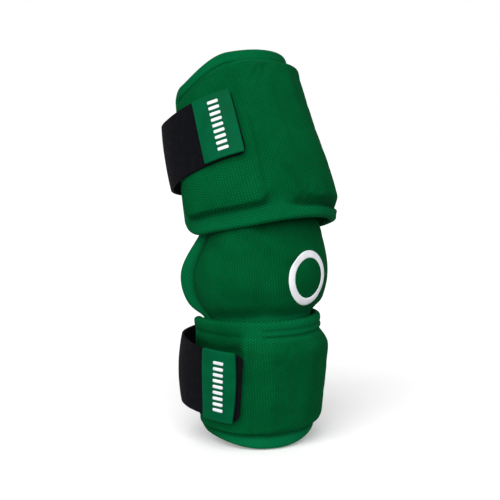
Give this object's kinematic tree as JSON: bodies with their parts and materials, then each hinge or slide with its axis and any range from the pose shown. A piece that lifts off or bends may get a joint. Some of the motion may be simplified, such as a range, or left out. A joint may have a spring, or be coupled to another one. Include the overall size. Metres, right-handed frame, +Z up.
{
  "type": "elbow guard",
  "caption": "Padded sports elbow guard with a raised-panel upper-arm cuff, a domed elbow cup and a forearm cuff, closed by elastic straps with pull tabs.",
  "frame": {"origin": "middle of the arm hollow at the elbow's height, where the arm holds the guard", "axes": "+Z up the forearm's line towards the upper arm, -Y out through the crown of the elbow cup, -X the side that carries the pull tabs"},
  "size_m": [0.1165, 0.1254, 0.276],
  "materials": {
    "mesh_cloth": "matte knitted mesh, deep green",
    "elastic": "matte woven elastic, near black",
    "tab_rubber": "smooth moulded rubber, green"
  },
  "bodies": {
    "root": {"upper_pad": "mesh_cloth", "elbow_cup": "mesh_cloth", "forearm_pad": "mesh_cloth", "upper_strap": "elastic", "forearm_strap": "elastic", "upper_tab": "tab_rubber", "forearm_tab": "tab_rubber"}
  },
  "joints": []
}
